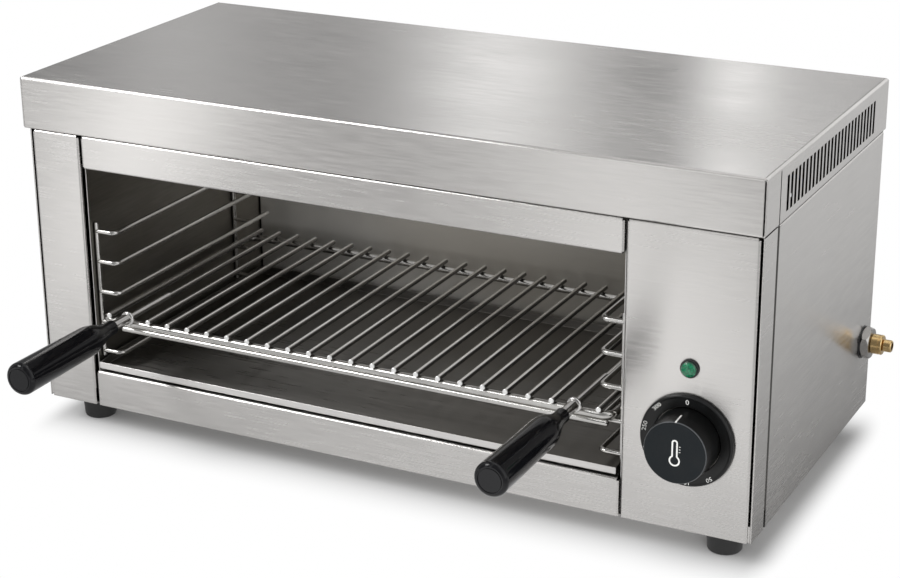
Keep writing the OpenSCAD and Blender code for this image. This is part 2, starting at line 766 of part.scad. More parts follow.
// Knob: a tapered cup with a flat face, a hub on the shaft and four ribs
module knob() {
    root = knob_root_d / 2;
    face = knob_d / 2;
    fillet = 1.4;
    wall = 2.2;
    hub = shaft_d / 2 + 3;
    depth = knob_h - 3;
    color(black) face_front([control_x, front_y - knob_gap, dial_z]) difference() {
        union() {
            rotate_extrude($fn = 96) polygon(concat(
                [[root - wall, 0], [root - 0.4, 0], [root, 0.4], [root, 3.6]],
                [for (i = [0 : 6]) [face - fillet + fillet * cos(15 * i), knob_h - fillet + fillet * sin(15 * i)]],
                [[0, knob_h], [0, depth], [face - wall, depth]]
            ));
            cylinder(r = hub, h = depth + 1);
            for (a = [0, 90]) rotate([0, 0, a])
                translate([-face + 1, -0.8, 6]) cube([2 * face - 2, 1.6, depth - 5]);
        }
        translate([0, 0, -1]) cylinder(d = shaft_d + 2 * run_gap, h = 18);
    }
}

lamp_flange_t = 1.5;
lamp_barrel_l = 24;

// Domed lens on the lamp's flange
module lamp_lens() {
    r = lens_d / 2 - 0.2;
    dome = 2.8;
    color([0.02, 0.3, 0.16]) face_front([control_x, front_y - lamp_flange_t, pilot_z])
        rotate_extrude() polygon(concat(
            [[0, 0], [r, 0]],
            [for (i = [0 : 9]) [r * cos(10 * i), 0.8 + dome * sin(10 * i)]],
            [[0, 0.8 + dome]]
        ));
}

// Lamp's body: flange in front of the panel, barrel through it, two terminals
module lamp_body() {
    color(black) face_back([control_x, front_y - lamp_flange_t, pilot_z]) {
        cylinder(d = lens_d + 1.4, h = lamp_flange_t);
        cylinder(d = lens_d - 2 * hole_gap, h = lamp_flange_t + lamp_barrel_l);
        for (s = [-1, 1]) translate([-2.4, s * 3 - 0.4, lamp_flange_t + lamp_barrel_l]) cube([4.8, 0.8, tab_l]);
    }
}

module lamp_nut() color(black) face_back([control_x, panel_back_y, pilot_z])
    hex_nut(lens_d + 5, 4, lens_d - 2 * hole_gap + fit_gap);

// ---- Terminal block and wires in the control box ----

block_y = front_y + hood_d * 0.72;
block_h = 17;
pole_pitch = 11;

// Terminal block on the floor: a base with three towers and their screw holes
module terminal_block() color([0.85, 0.85, 0.8]) translate([control_x, block_y, base_z1]) difference() {
    union() {
        translate([-pole_pitch * 2, -9, 0]) cube([pole_pitch * 4, 18, 5]);
        for (i = [-1 : 1]) translate([i * pole_pitch - 4, -8, 0]) cube([8, 16, block_h]);
    }
    for (i = [-1 : 1]) {
        translate([i * pole_pitch, 0, 8]) cylinder(d = 5, h = block_h);
        face_back([i * pole_pitch, -9, 9]) cylinder(d = 3.4, h = 18);
    }
    for (s = [-1, 1]) translate([s * pole_pitch * 1.75, 0, -1]) cylinder(d = 3.5, h = 8);
}

wire_d = 2.6;
wire_r = 6;
wire_y0 = block_y - 7;
wire_z0 = base_z1 + 9;
tab_y = panel_back_y + thermo_d + tab_l + 0.3;
pin_x = cav_x1 + liner_t + heater_tail + 0.3;
riser_y = tab_y + 16;
wire_run = 20;
wire_drop = 16;

module wire(p) bent_wire(p, wire_d, wire_r);

// From the block to the thermostat
module wire_live() color([0.45, 0.2, 0.1]) wire([
    [control_x - pole_pitch, wire_y0, wire_z0], [control_x - pole_pitch, riser_y, wire_z0],
    [control_x - pole_pitch, riser_y, dial_z - 8], [control_x - pole_pitch, tab_y, dial_z - 8],
]);

// From the thermostat to the front heater, and from that to the rear one
module wire_heater() color([0.1, 0.1, 0.1]) {
    wire([
        [control_x + 10, tab_y, dial_z + 8], [control_x + 10, heater_y[0], dial_z + 8],
        [control_x + 10, heater_y[0], heater_z], [pin_x, heater_y[0], heater_z],
    ]);
    wire([
        [pin_x, heater_y[1], heater_z], [pin_x + 14, heater_y[1], heater_z],
        [pin_x + 14, heater_y[2], heater_z], [pin_x, heater_y[2], heater_z],
    ]);
}

// From the block to the rear heater
module wire_neutral() color([0.15, 0.3, 0.6]) wire([
    [control_x + pole_pitch, wire_y0, wire_z0], [control_x + pole_pitch, wire_y0 - wire_run, wire_z0],
    [control_x + pole_pitch, wire_y0 - wire_run, heater_z - wire_drop],
    [control_x + pole_pitch, heater_y[3], heater_z - wire_drop],
    [control_x + pole_pitch, heater_y[3], heater_z], [pin_x, heater_y[3], heater_z],
]);

// From the lamp's terminals, one to the thermostat and one to the block
module wire_lamp() {
    lamp_y = front_y + lamp_barrel_l + tab_l + 0.3;
    color([0.8, 0.8, 0.8]) {
        bent_wire([
            [control_x, lamp_y, pilot_z + 3], [control_x, riser_y, pilot_z + 3],
            [control_x - 10, riser_y, pilot_z + 3], [control_x - 10, riser_y, dial_z + 8],
            [control_x - 10, tab_y, dial_z + 8],
        ], wire_d, 4);
        wire([
            [control_x, lamp_y, pilot_z - 3], [control_x, wire_y0 - 2 * wire_run, pilot_z - 3],
            [control_x, wire_y0 - 2 * wire_run, wire_z0], [control_x, wire_y0, wire_z0],
        ]);
    }
}

// ---- Cable gland ----

gland_nut_x = right_x + washer_t;
gland_collar_x = gland_nut_x + gland_nut_h;

module gland_washer() color(black) face_right([right_x, gland_cy, gland_cz]) difference() {
    cylinder(d = gland_af + 2.5, h = washer_t);
    translate([0, 0, -1]) cylinder(d = gland_d + fit_gap, h = 3);
}

module gland_locknut() color(chrome) face_right([gland_nut_x, gland_cy, gland_cz])
    hex_nut(gland_af, gland_nut_h, gland_d + fit_gap);

// Barrel through the wall, grooved brass collar outside, bore through both
module gland_body() {
    inner_l = 9;
    collar_r = gland_collar_d / 2;
    groove_z = gland_collar_l - 3;
    barrel_l = inner_l + sheet_t + washer_t + gland_nut_h;
    color(brass) face_right([right_x - sheet_t - inner_l, gland_cy, gland_cz]) difference() {
        union() {
            chamfered(gland_d, barrel_l + 1, 0.6);
            translate([0, 0, barrel_l]) rotate_extrude() polygon([
                [0, 0], [collar_r - 0.8, 0], [collar_r, 0.8], [collar_r, groove_z],
                [collar_r - 0.9, groove_z], [collar_r - 0.9, groove_z + 1], [collar_r, groove_z + 1],
                [collar_r, gland_collar_l - 0.6], [collar_r - 0.6, gland_collar_l], [0, gland_collar_l],
            ]);
        }
        translate([0, 0, -1]) cylinder(d = gland_bore_d + 2, h = barrel_l + gland_collar_l + 2);
    }
}

// Outer nipple that the mains lead passes through
module gland_cap() color(brass) face_right([gland_collar_x + gland_collar_l, gland_cy, gland_cz])
    difference() {
        chamfered(gland_nipple_d, gland_nipple_l, 0.8);
        translate([0, 0, -1]) cylinder(d = gland_bore_d, h = gland_nipple_l + 2);
    }

module gland_backnut() color(chrome) face_right([gland_wall_x - 4, gland_cy, gland_cz])
    hex_nut(gland_af - 2, 4, gland_d + fit_gap);

// ---- Feet ----

foot_web = 7;

// Rubber foot: tapered, with a rounded lower edge and a recess for its screw
module foot(x, y) {
    bottom = foot_d / 2 - 1.4;
    round = 2.2;
    recess = m5_d + 1.6;
    color(black) translate([x, y, 0]) rotate_extrude() polygon(concat(
        [[recess, 0]],
        [for (i = [0 : 5]) [bottom - round + round * sin(18 * i), round - round * cos(18 * i)]],
        [
            [foot_d / 2, foot_h], [m5_d / 2 + hole_gap, foot_h],
            [m5_d / 2 + hole_gap, foot_h - foot_web], [recess, foot_h - foot_web],
        ]
    ));
}

module foot_front_left() foot(foot_x[0], foot_y[0]);
module foot_front_right() foot(foot_x[1], foot_y[0]);
module foot_rear_left() foot(foot_x[0], foot_y[1]);
module foot_rear_right() foot(foot_x[1], foot_y[1]);

// Screws through the feet and the nuts on the cabinet's floor
module foot_screws() color(chrome) for (x = foot_x, y = foot_y) translate([x, y, 0]) {
    translate([0, 0, foot_h - foot_web]) rotate([180, 0, 0]) pan_screw(m5_d, foot_web + sheet_t + 5);
    translate([0, 0, base_z1]) hex_nut(8, 4, m5_d + fit_gap);
}

// ---- Shelf ----

// Frame bent from one bar into a rectangle with round corners
module shelf_frame() {
    mid = (bar_x0 + bar_x1) / 2;
    color(chrome) bent_wire([
        [mid, bar_y1, bar_z], [bar_x0, bar_y1, bar_z], [bar_x0, bar_y0, bar_z],
        [bar_x1, bar_y0, bar_z], [bar_x1, bar_y1, bar_z], [mid, bar_y1, bar_z],
    ], bar_d, frame_r);
}

// Second bar welded under the front bar
module shelf_brace() color(chrome)
    face_right([handle_x[0] - 8, bar_y0, bar_z - (bar_d + brace_d) / 2])
        chamfered(brace_d, bar_x1 - handle_x[0] + 6, 0.6);

// Rods welded on the frame; the two in line with the handles start where the handles' rods end
module shelf_rods() {
    y1 = bar_y1 + bar_d / 2 + rod_tail;
    color(chrome) for (i = [0 : rod_gaps]) {
        y0 = (i == handle_rod[0] || i == handle_rod[1]) ? core_y1 : bar_face_y - rod_nose;
        face_back([rod_x(i), y0, rod_z]) chamfered(rod_d, y1 - y0, 0.4);
    }
}

// Rods of the two handles, welded on the front bar
module handle_rods() color(chrome) for (x = handle_x)
    face_back([x, neck_y - core_depth, core_z]) chamfered(core_d, core_depth + core_y1 - neck_y, 0.6);

module handle_ferrules() color(chrome) for (x = handle_x) face_back([x, neck_y, core_z]) difference() {
    cylinder(d = ferrule_d, h = ferrule_l);
    translate([0, 0, -1]) cylinder(d = core_d + fit_gap, h = ferrule_l + 2);
}

module handle_collars() color(chrome) for (x = handle_x) face_back([x, ferrule_y + collar_d / 2, core_z])
    rotate_extrude() translate([(core_d + collar_d + fit_gap) / 2, 0]) circle(d = collar_d);

// Grip: a narrow neck that flares into a barrel, with a rounded butt and a
// flat disc set in its end
module grip(x) {
    neck_l = 5;
    flare_l = 30;
    butt_r = grip_d / 2;
    barrel_r = butt_r - 0.8;
    round = 3.6;
    disc_r = butt_r - round - 0.6;
    color(black) face_front([x, neck_y, core_z]) rotate_extrude($fn = 64) polygon(concat(
        [[core_d / 2 + fit_gap / 2, 0], [neck_d / 2 - 0.8, 0], [neck_d / 2, 0.8]],
        [for (i = [0 : 12]) [
            neck_d / 2 + (barrel_r - neck_d / 2) * (1 - cos(15 * i)) / 2,
            neck_l + flare_l * i / 12,
        ]],
        [for (i = [0 : 6]) [butt_r - round + round * cos(15 * i), grip_l - round + round * sin(15 * i)]],
        [
            [disc_r + 0.6, grip_l - 0.6], [disc_r, grip_l - 0.6], [disc_r, grip_l], [0, grip_l],
            [0, core_depth + fit_gap], [core_d / 2 + fit_gap / 2, core_depth + fit_gap],
        ]
    ));
}

module grip_left() grip(handle_x[0]);
module grip_right() grip(handle_x[1]);

// ---- Drip tray ----

// Shallow tray folded from one sheet; its walls slope down to the front lip
module drip_tray() {
    a = [cav_x0 + tray_gap, front_y + tray_front, sill_z + rail_rise + slide_gap];
    b = [cav_x1 - tray_gap, cav_y1 - tray_rear_gap, a.z + tray_wall];
    slope = 16;
    color(dark_steel) difference() {
        fold_tray(a, b, sheet_t, edge_r);
        along_x(a.x - 1, b.x - a.x + 2) polygon([
            [a.y - 1, a.z + lip_h], [a.y + 2 * sheet_t, a.z + lip_h], [a.y + slope, b.z],
            [a.y + slope, b.z + 1], [a.y - 1, b.z + 1],
        ]);
    }
}

// ---- Parts ----

hood();
base_pan();
side_left();
side_right();
back_panel();
back_screws();
corner_post_left();
corner_post_right();
front_stile();
front_fascia();
front_sill();
control_panel();
cavity_left();
cavity_right();
cavity_back();
cavity_roof();
rack_left();
rack_right();
tray_rail_left();
tray_rail_right();
heater_front();
heater_rear();
heater_nuts();
heater_hangers();
thermostat_body();
thermostat_screws();
sensor_bulb();
sensor_clips();
dial_ring();
thermostat_shaft();
knob();
lamp_lens();
lamp_body();
lamp_nut();
terminal_block();
wire_live();
wire_heater();
wire_neutral();
wire_lamp();
gland_washer();
gland_locknut();
gland_body();
gland_cap();
gland_backnut();
foot_front_left();
foot_front_right();
foot_rear_left();
foot_rear_right();
foot_screws();
shelf_frame();
shelf_brace();
shelf_rods();
handle_rods();
handle_ferrules();
handle_collars();
grip_left();
grip_right();
drip_tray();
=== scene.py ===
"""Looks of the electric cheese melter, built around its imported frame.

Lengths are in metres in the frame's own axes: +Z up, the open front faces -Y.
"""

import bpy
import numpy as np
from mathutils import Matrix, Vector


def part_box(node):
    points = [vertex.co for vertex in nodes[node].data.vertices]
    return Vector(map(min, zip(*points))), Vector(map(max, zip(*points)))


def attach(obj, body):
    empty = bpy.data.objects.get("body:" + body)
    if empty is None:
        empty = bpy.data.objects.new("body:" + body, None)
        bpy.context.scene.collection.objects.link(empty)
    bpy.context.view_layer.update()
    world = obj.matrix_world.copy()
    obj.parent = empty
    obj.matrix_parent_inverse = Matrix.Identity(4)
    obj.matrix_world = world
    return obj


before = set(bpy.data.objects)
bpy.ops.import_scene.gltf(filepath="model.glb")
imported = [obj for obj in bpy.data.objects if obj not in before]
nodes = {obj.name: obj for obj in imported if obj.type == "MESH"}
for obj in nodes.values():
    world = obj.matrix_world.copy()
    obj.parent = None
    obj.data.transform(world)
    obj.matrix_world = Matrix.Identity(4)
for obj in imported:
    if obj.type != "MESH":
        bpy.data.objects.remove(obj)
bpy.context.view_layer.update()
scene = bpy.context.scene
scene.view_settings.view_transform = "Standard"

MM = 0.001

# ---------------------------------------------------------------- places ----


def low(node):
    """Lowest corner of a CAD node at rest."""
    return np.array(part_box(node)[0])


def high(node):
    """Highest corner of a CAD node at rest."""
    return np.array(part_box(node)[1])


def middle(node):
    """Centre of a CAD node's box at rest."""
    return (low(node) + high(node)) / 2


DIAL = middle("dial_ring")
DIAL_FRONT = low("dial_ring")[1]
KNOB_BACK = high("knob")[1]
KNOB_FACE = low("knob")[1]
KNOB_RADIUS = (high("knob") - low("knob"))[0] / 2
LENS = middle("lamp_lens")
LENS_RADIUS = (high("lamp_lens") - low("lamp_lens"))[0] / 2
HOOD_FRONT = low("hood")[1]
HOOD_RIGHT = high("hood")[0]
HOOD_TOP = high("hood")[2]
SIDE_FRONT = low("side_right")[1]
SIDE_REAR = high("side_right")[1]
LINING_FRONT = low("cavity_left")[1]
TRAY_FRONT = low("drip_tray")[1]
BUTT_FACE = low("grip_left")[1]
ROD_TIP = low("shelf_rods")[1]

# ---------------------------------------------------------------- camera ----


def place_camera():
    """The photograph's viewpoint, fitted to the hood's corners: a turn about Z, a
    tilt and a roll in radians, and a lens in pixels of a frame 900 wide."""
    azimuth, elevation, roll = -0.47255, 0.36050, -0.00773
    place = (0.69570, -1.31974, 0.70105)
    lens_px, frame_px, sensor_mm = 2110.14, 900, 36
    ahead = Vector((
        np.sin(azimuth) * np.cos(elevation),
        np.cos(azimuth) * np.cos(elevation),
        -np.sin(elevation),
    ))
    level = ahead.cross(Vector((0, 0, 1))).normalized()
    over = level.cross(ahead)
    right = level * np.cos(roll) + over * np.sin(roll)
    up = over * np.cos(roll) - level * np.sin(roll)
    data = bpy.data.cameras.new("camera")
    data.sensor_width = sensor_mm
    data.lens = lens_px * sensor_mm / frame_px
    data.clip_start, data.clip_end = 0.05, 60
    camera = bpy.data.objects.new("camera", data)
    turned = Matrix((right, up, -ahead)).transposed().to_4x4()
    camera.matrix_world = Matrix.Translation(place) @ turned
    scene.collection.objects.link(camera)
    scene.camera = camera


place_camera()

# ------------------------------------------------------------ mesh tools ----


def add_mesh(name, points, faces):
    """A flat-shaded mesh object at the origin, from points and faces in metres."""
    mesh = bpy.data.meshes.new(name)
    mesh.from_pydata(np.asarray(points, float).reshape(-1, 3).tolist(), [], faces)
    mesh.update()
    piece = bpy.data.objects.new(name, mesh)
    scene.collection.objects.link(piece)
    return piece


def ribbon(centres, across, up, width, height, closed):
    """Rectangle of width x height carried along a path: at each point the four
    corners lie at the centre +- across * width / 2, with and without up * height.
    Quads join each ring of corners to the next, and open ends are capped."""
    half = np.asarray(across) * (width / 2)
    rise = np.asarray(up) * height
    rings = np.stack([
        centres - half, centres + half, centres + half + rise, centres - half + rise,
    ], 1)
    count = len(centres)
    ring = np.arange(count if closed else count - 1)[:, None]
    corner = np.arange(4)[None, :]
    here, after, beside = ring * 4, (ring + 1) % count * 4, (corner + 1) % 4
    quads = np.broadcast_arrays(here + corner, here + beside, after + beside, after + corner)
    faces = np.stack(quads, -1).reshape(-1, 4).tolist()
    if not closed:
        last = (count - 1) * 4
        faces += [[3, 2, 1, 0], [last, last + 1, last + 2, last + 3]]
    return rings.reshape(-1, 3), faces


def outward(piece):
    """Turns a closed piece's faces outwards."""
    bpy.ops.object.select_all(action="DESELECT")
    bpy.context.view_layer.objects.active = piece
    piece.select_set(True)
    bpy.ops.object.mode_set(mode="EDIT")
    bpy.ops.mesh.select_all(action="SELECT")
    bpy.ops.mesh.normals_make_consistent(inside=False)
    bpy.ops.object.mode_set(mode="OBJECT")


# -------------------------------------------------------- material tools ----


class Wiring:
    """A node tree whose nodes are added one call at a time. Wherever a call takes
    a value, it may be a number or another node's output."""

    def __init__(self, tree):
        self.tree = tree

    def node(self, kind, **settings):
        made = self.tree.nodes.new(kind)
        for key, value in settings.items():
            setattr(made, key, value)
        return made

    def link(self, source, socket):
        if hasattr(source, "is_linked"):
            self.tree.links.new(source, socket)
        else:
            socket.default_value = source

    def math(self, operation, a, b=0.0):
        made = self.node("ShaderNodeMath", operation=operation)
        self.link(a, made.inputs[0])
        self.link(b, made.inputs[1])
        return made.outputs[0]

    def plus(self, a, b):
        return self.math("ADD", a, b)

    def minus(self, a, b):
        return self.math("SUBTRACT", a, b)

    def times(self, first, *others):
        product = first
        for other in others:
            product = self.math("MULTIPLY", product, other)
        return product

    def under(self, value, limit):
        """1 where the value lies under the limit, else 0."""
        return self.math("LESS_THAN", value, limit)

    def over(self, value, limit):
        """1 where the value lies over the limit, else 0."""
        return self.math("GREATER_THAN", value, limit)

    def size(self, value):
        return self.math("ABSOLUTE", value)

    def length(self, a, b):
        """The root of the sum of two squares."""
        return self.math("SQRT", self.plus(self.times(a, a), self.times(b, b)))

    def bell(self, value, centre, width):
        """e to the power of minus the square of (value - centre) / width."""
        offset = self.math("DIVIDE", self.minus(value, centre), width)
        return self.math("EXPONENT", self.times(offset, offset, -1))

    def axis(self, vector, name):
        made = self.node("ShaderNodeSeparateXYZ")
        self.link(vector, made.inputs[0])
        return made.outputs[name]

    def ramp(self, value, start, end, first=0, last=1, smooth=False):
        """Goes from first to last, and no further, as the value goes from start to end."""
        made = self.node("ShaderNodeMapRange")
        made.interpolation_type = "SMOOTHSTEP" if smooth else "LINEAR"
        self.link(value, made.inputs["Value"])
        sockets = ("From Min", "From Max", "To Min", "To Max")
        for key, number in zip(sockets, (start, end, first, last)):
            self.link(number, made.inputs[key])
        return made.outputs[0]


class Finish(Wiring):
    """A material, which starts from sockets of the shader that are set for all of it."""

    def __init__(self, name, **sockets):
        self.material = bpy.data.materials.new(name)
        self.material.use_nodes = True
        super().__init__(self.material.node_tree)
        self.shader = self.tree.nodes["Principled BSDF"]
        for key, value in sockets.items():
            self.shader.inputs[key.replace("_", " ")].default_value = value
        self.place = self.node("ShaderNodeTexCoord").outputs["Object"]

    def feed(self, source, name):
        self.link(source, self.shader.inputs[name])

    def at(self, name):
        """The place on the object along one axis."""
        return self.axis(self.place, name)

    def facing(self, name, normal="Normal"):
        """How much the surface looks along one axis, from -1 to 1."""
        return self.axis(self.node("ShaderNodeNewGeometry").outputs[normal], name)

    def scaled(self, scale):
        """The place on the object, multiplied along each axis."""
        made = self.node("ShaderNodeMapping")
        made.inputs["Scale"].default_value = scale
        self.link(self.place, made.inputs["Vector"])
        return made.outputs[0]

    def noise(self, vector, detail, roughness=0.5, scale=1.0):
        made = self.node("ShaderNodeTexNoise")
        self.link(vector, made.inputs["Vector"])
        made.inputs["Scale"].default_value = scale
        made.inputs["Detail"].default_value = detail
        made.inputs["Roughness"].default_value = roughness
        return made.outputs["Fac"]

    def speckle(self, scale, detail, roughness=0.5):
        """Noise that is as fine along every axis."""
        return self.noise(self.scaled((scale, scale, scale)), detail, roughness)

    def mix(self, factor, a, b):
        """Colour a where the factor is 0, b where it is 1."""
        made = self.node("ShaderNodeMix", data_type="RGBA")
        self.link(factor, made.inputs[0])
        for value, socket in ((a, made.inputs[6]), (b, made.inputs[7])):
            self.link(value if hasattr(value, "is_linked") else (*value, 1), socket)
        return made.outputs[2]

    def pick(self, factor, a, b):
        """Vector a where the factor is 0, b where it is 1."""
        made = self.node("ShaderNodeMix", data_type="VECTOR")
        self.link(factor, made.inputs[0])
        self.link(a, made.inputs[4])
        self.link(b, made.inputs[5])
        return made.outputs[1]

    def bump(self, height, strength, depth, edge=0.0):
        """Relief of a depth in metres, over edges rounded by a radius."""
        made = self.node("ShaderNodeBump")
        made.inputs["Strength"].default_value = strength
        made.inputs["Distance"].default_value = depth
        self.link(height, made.inputs["Height"])
        if edge:
            rounded = self.node("ShaderNodeBevel", samples=6)
            rounded.inputs["Radius"].default_value = edge
            self.link(rounded.outputs[0], made.inputs["Normal"])
        self.feed(made.outputs[0], "Normal")


def dress(material, *names):
    """Puts a material on CAD nodes or pieces."""
    for name in names:
        target = nodes[name] if isinstance(name, str) else name
        if not target.data.materials:
            target.data.materials.append(material)
        for slot in target.material_slots:
            slot.material = material


# ---------------------------------------------------------- sheet metals ----

STEEL = (0.62, 0.605, 0.59)
# Colour towards which grime and painted shade from ambient occlusion darken seams and corners
SEAM_GRIME_AND_SHADE = (0.04, 0.038, 0.035)
# Colour of the painted shade on the flank walls' cut edges and of the painted shadow in seam gaps
GAP_SHADE = (0.05, 0.048, 0.045)
# Painted lit steel colour of front faces at the cooking space's opening
LIT_FRONT_STEEL = (0.72, 0.705, 0.69)

# From the hood's middle to where only the thickness of a side wall is left
FLANK = 287 * MM
# Thickness of the rear fold and the top, which are left out of the cut edges
FOLD = 3 * MM
# Length of the back lining's ends over which its painted light, paler towards the left, stays
# even
EVEN_LIGHT_END = 60 * MM


class BrushedSheet(Finish):
    """Brushed stainless sheet. Fine lines run along X, or along Y on faces that
    look along X, and broad soft patches vary the gloss a little."""

    def __init__(self, name, colour, rough, grain=420, contrast=0.05, metal=1.0):
        super().__init__(name, Metallic=metal, Anisotropic=0.95, Anisotropic_Rotation=0.25)
        self.rough = rough
        self.sideways = self.over(self.size(self.facing("X")), 0.72)
        along = 28
        drawn = self.pick(
            self.sideways, self.scaled((along, grain, grain)), self.scaled((grain, along, grain))
        )
        coarse, fine = self.noise(drawn, 1.0), self.noise(drawn, 0.0, scale=2.3)
        self.lines = self.plus(self.times(coarse, 0.65), self.times(fine, 0.35))
        self.patches = self.noise(self.scaled((5, 9, 9)), 2.0)
        dark = tuple(c * (1 - contrast) for c in colour)
        bright = tuple(min(c * (1 + contrast), 1) for c in colour)
        self.colour = self.mix(self.ramp(self.lines, 0.32, 0.68), dark, bright)

    def stain_or_shade(self, mask, colour):
        """Lays a colour over the sheet where the mask is 1."""
        self.colour = self.mix(mask, self.colour, colour)

    def finished(self):
        """The material, with grime and painted shade from ambient occlusion darkening its seams
        and corners, its lines in relief and its edges rounded a little."""
        # Painted shade: ambient occlusion darkens seams and corners towards a grime colour
        corner = self.node("ShaderNodeAmbientOcclusion", samples=6)
        corner.inputs["Distance"].default_value = 2.5 * MM
        unshaded = self.ramp(corner.outputs["AO"], 0.35, 0.75)
        self.feed(self.mix(unshaded, SEAM_GRIME_AND_SHADE, self.colour), "Base Color")
        gloss = self.ramp(self.lines, 0.3, 0.7, self.rough - 0.03, self.rough + 0.04)
        self.feed(self.plus(gloss, self.ramp(self.patches, 0.3, 0.7, -0.02, 0.03)), "Roughness")
        self.feed(self.pick(self.sideways, (1, 0, 0), (0, 1, 0)), "Tangent")
        self.bump(self.lines, 0.1, 0.014 * MM, 0.7 * MM)
        return self.material


def cut_edges(sheet, start):
    """1 on the cut thickness of the walls at both flanks: faces that don't look
    along X, behind the depth start, short of the rear fold and of the top."""
    off = sheet.size(sheet.minus(sheet.at("X"), middle("hood")[0]))
    level = sheet.under(sheet.size(sheet.facing("X", "True Normal")), 0.4)
    behind = sheet.over(sheet.at("Y"), start)
    short = sheet.under(sheet.at("Y"), SIDE_REAR - FOLD)
    below = sheet.under(sheet.at("Z"), HOOD_TOP - FOLD)
    return sheet.times(level, behind, sheet.over(off, FLANK), short, below)


def outer_sheet(name, rough, cut_from=None, seam=None):
    """Bare outer sheet. Cut edges behind cut_from are painted dark as shade, and a line along the
    edge at the depth seam, where the sheet starts behind another, is a painted shadow of the gap."""
    sheet = BrushedSheet(name, STEEL, rough)
    # Painted shade: the flank walls' cut edges are dark, as shade in their gaps and slots
    if cut_from is not None:
        sheet.stain_or_shade(cut_edges(sheet, cut_from), GAP_SHADE)
    # Painted shadow of the seam's gap: a dark line along the sheet's front edge
    if seam is not None:
        line = sheet.ramp(sheet.at("Y"), seam + 1.0 * MM, seam + 1.6 * MM, 1, 0, smooth=True)
        sheet.stain_or_shade(sheet.times(line, 0.92), GAP_SHADE)
    return sheet.finished()


def inner_sheet(name, colour, rough, heat_tint, metal, bright_to=None, lit_left_end=None):
    """Sheet of the cooking space, tinted in patches by heat. Front edges ahead of bright_to get a
    painted lit steel colour, set against the painted shade inside, and lit_left_end is the back's
    colour at its left, painted light that pales the back towards that end."""
    sheet = BrushedSheet(name, colour, rough, 380, 0.08, metal)
    # Painted light: the back lining is paler towards its left end
    if lit_left_end is not None:
        start, end = low("cavity_back")[0] + EVEN_LIGHT_END, high("cavity_back")[0] - EVEN_LIGHT_END
        sheet.stain_or_shade(sheet.ramp(sheet.at("X"), start, end, 1, 0, smooth=True), lit_left_end)
    sheet.stain_or_shade(sheet.ramp(sheet.patches, 0.4, 0.75, 0, 0.7, smooth=True), heat_tint)
    # Painted light: front faces at the opening keep a lit steel colour
    if bright_to is not None:
        ahead = sheet.under(sheet.at("Y"), bright_to)
        front = sheet.under(sheet.facing("Y", "True Normal"), -0.7)
        sheet.stain_or_shade(sheet.times(ahead, front), LIT_FRONT_STEEL)
    return sheet.finished()


stainless = outer_sheet("stainless", 0.24)
side_steel = outer_sheet("side_steel", 0.24, HOOD_FRONT - 4 * MM, SIDE_FRONT)
hood_steel = outer_sheet("hood_steel", 0.22, HOOD_FRONT + 4 * MM)
# The walls', back's and tray's dark colours are partly heat tint and partly painted shade of the
# cooking space
liner_steel = inner_sheet(
    "liner_steel", (0.22, 0.21, 0.19), 0.32, (0.16, 0.145, 0.12), 0.98,
    bright_to=LINING_FRONT + 0.2 * MM,
)
back_liner_steel = inner_sheet(
    "back_liner_steel", (0.26, 0.25, 0.23), 0.36, (0.42, 0.39, 0.34), 0.85,
    lit_left_end=(0.92, 0.9, 0.86),
)
roof_steel = inner_sheet("roof_steel", (0.75, 0.72, 0.68), 0.3, (0.5, 0.42, 0.32), 0.5)
tray_steel = inner_sheet(
    "tray_steel", (0.2, 0.193, 0.182), 0.3, (0.145, 0.135, 0.12), 0.97,
    bright_to=TRAY_FRONT + 1 * MM,
)

# ------------------------------------------- plating, plastic and rubber ----


def plated(name, colour, rough, haze=0.08, edge=0.0):
    """Plated or turned metal: a haze dulls it here and there, and fine pits break
    its gloss. Its edges are rounded by the radius edge."""
    finish = Finish(name, Metallic=1.0)
    cloud, pits = finish.speckle(60, 4.0, 0.6), finish.speckle(900, 2.0)
    hazy = tuple(c * 0.86 for c in colour)
    finish.feed(finish.mix(finish.ramp(cloud, 0.35, 0.7), colour, hazy), "Base Color")
    finish.feed(finish.ramp(cloud, 0.3, 0.7, rough, rough + haze), "Roughness")
    finish.bump(pits, 0.15, 0.01 * MM, edge)
    return finish.material


def moulded(name, colour, rough, grain=700, depth=0.02 * MM):
    """Plain moulded plastic or rubber with a fine grain and faint rubbed spots."""
    finish = Finish(name)
    rubbed = finish.speckle(45, 3.0, 0.6)
    pale = tuple(c * 1.35 + 0.002 for c in colour)
    finish.feed(finish.mix(finish.ramp(rubbed, 0.3, 0.75), colour, pale), "Base Color")
    finish.feed(finish.ramp(rubbed, 0.3, 0.75, rough, rough + 0.09), "Roughness")
    finish.bump(finish.speckle(grain, 3.0, 0.55), 0.3, depth)
    return finish.material


def grip_finish():
    """Glossy phenolic; the disc in the butt is satin."""
    finish = Finish("grip_black", Coat_Weight=0.4, Coat_Roughness=0.05, Specular_IOR_Level=0.08)
    disc = finish.under(finish.at("Y"), BUTT_FACE + 0.1 * MM)
    swirl = finish.noise(finish.scaled((40, 12, 40)), 3.0, 0.6)
    finish.feed(finish.mix(disc, (0.004, 0.004, 0.005), (0.008, 0.008, 0.009)), "Base Color")
    gloss = finish.ramp(swirl, 0.3, 0.7, 0.1, 0.17)
    finish.feed(finish.plus(gloss, finish.times(disc, 0.35)), "Roughness")
    finish.bump(swirl, 0.2, 0.06 * MM)
    return finish.material


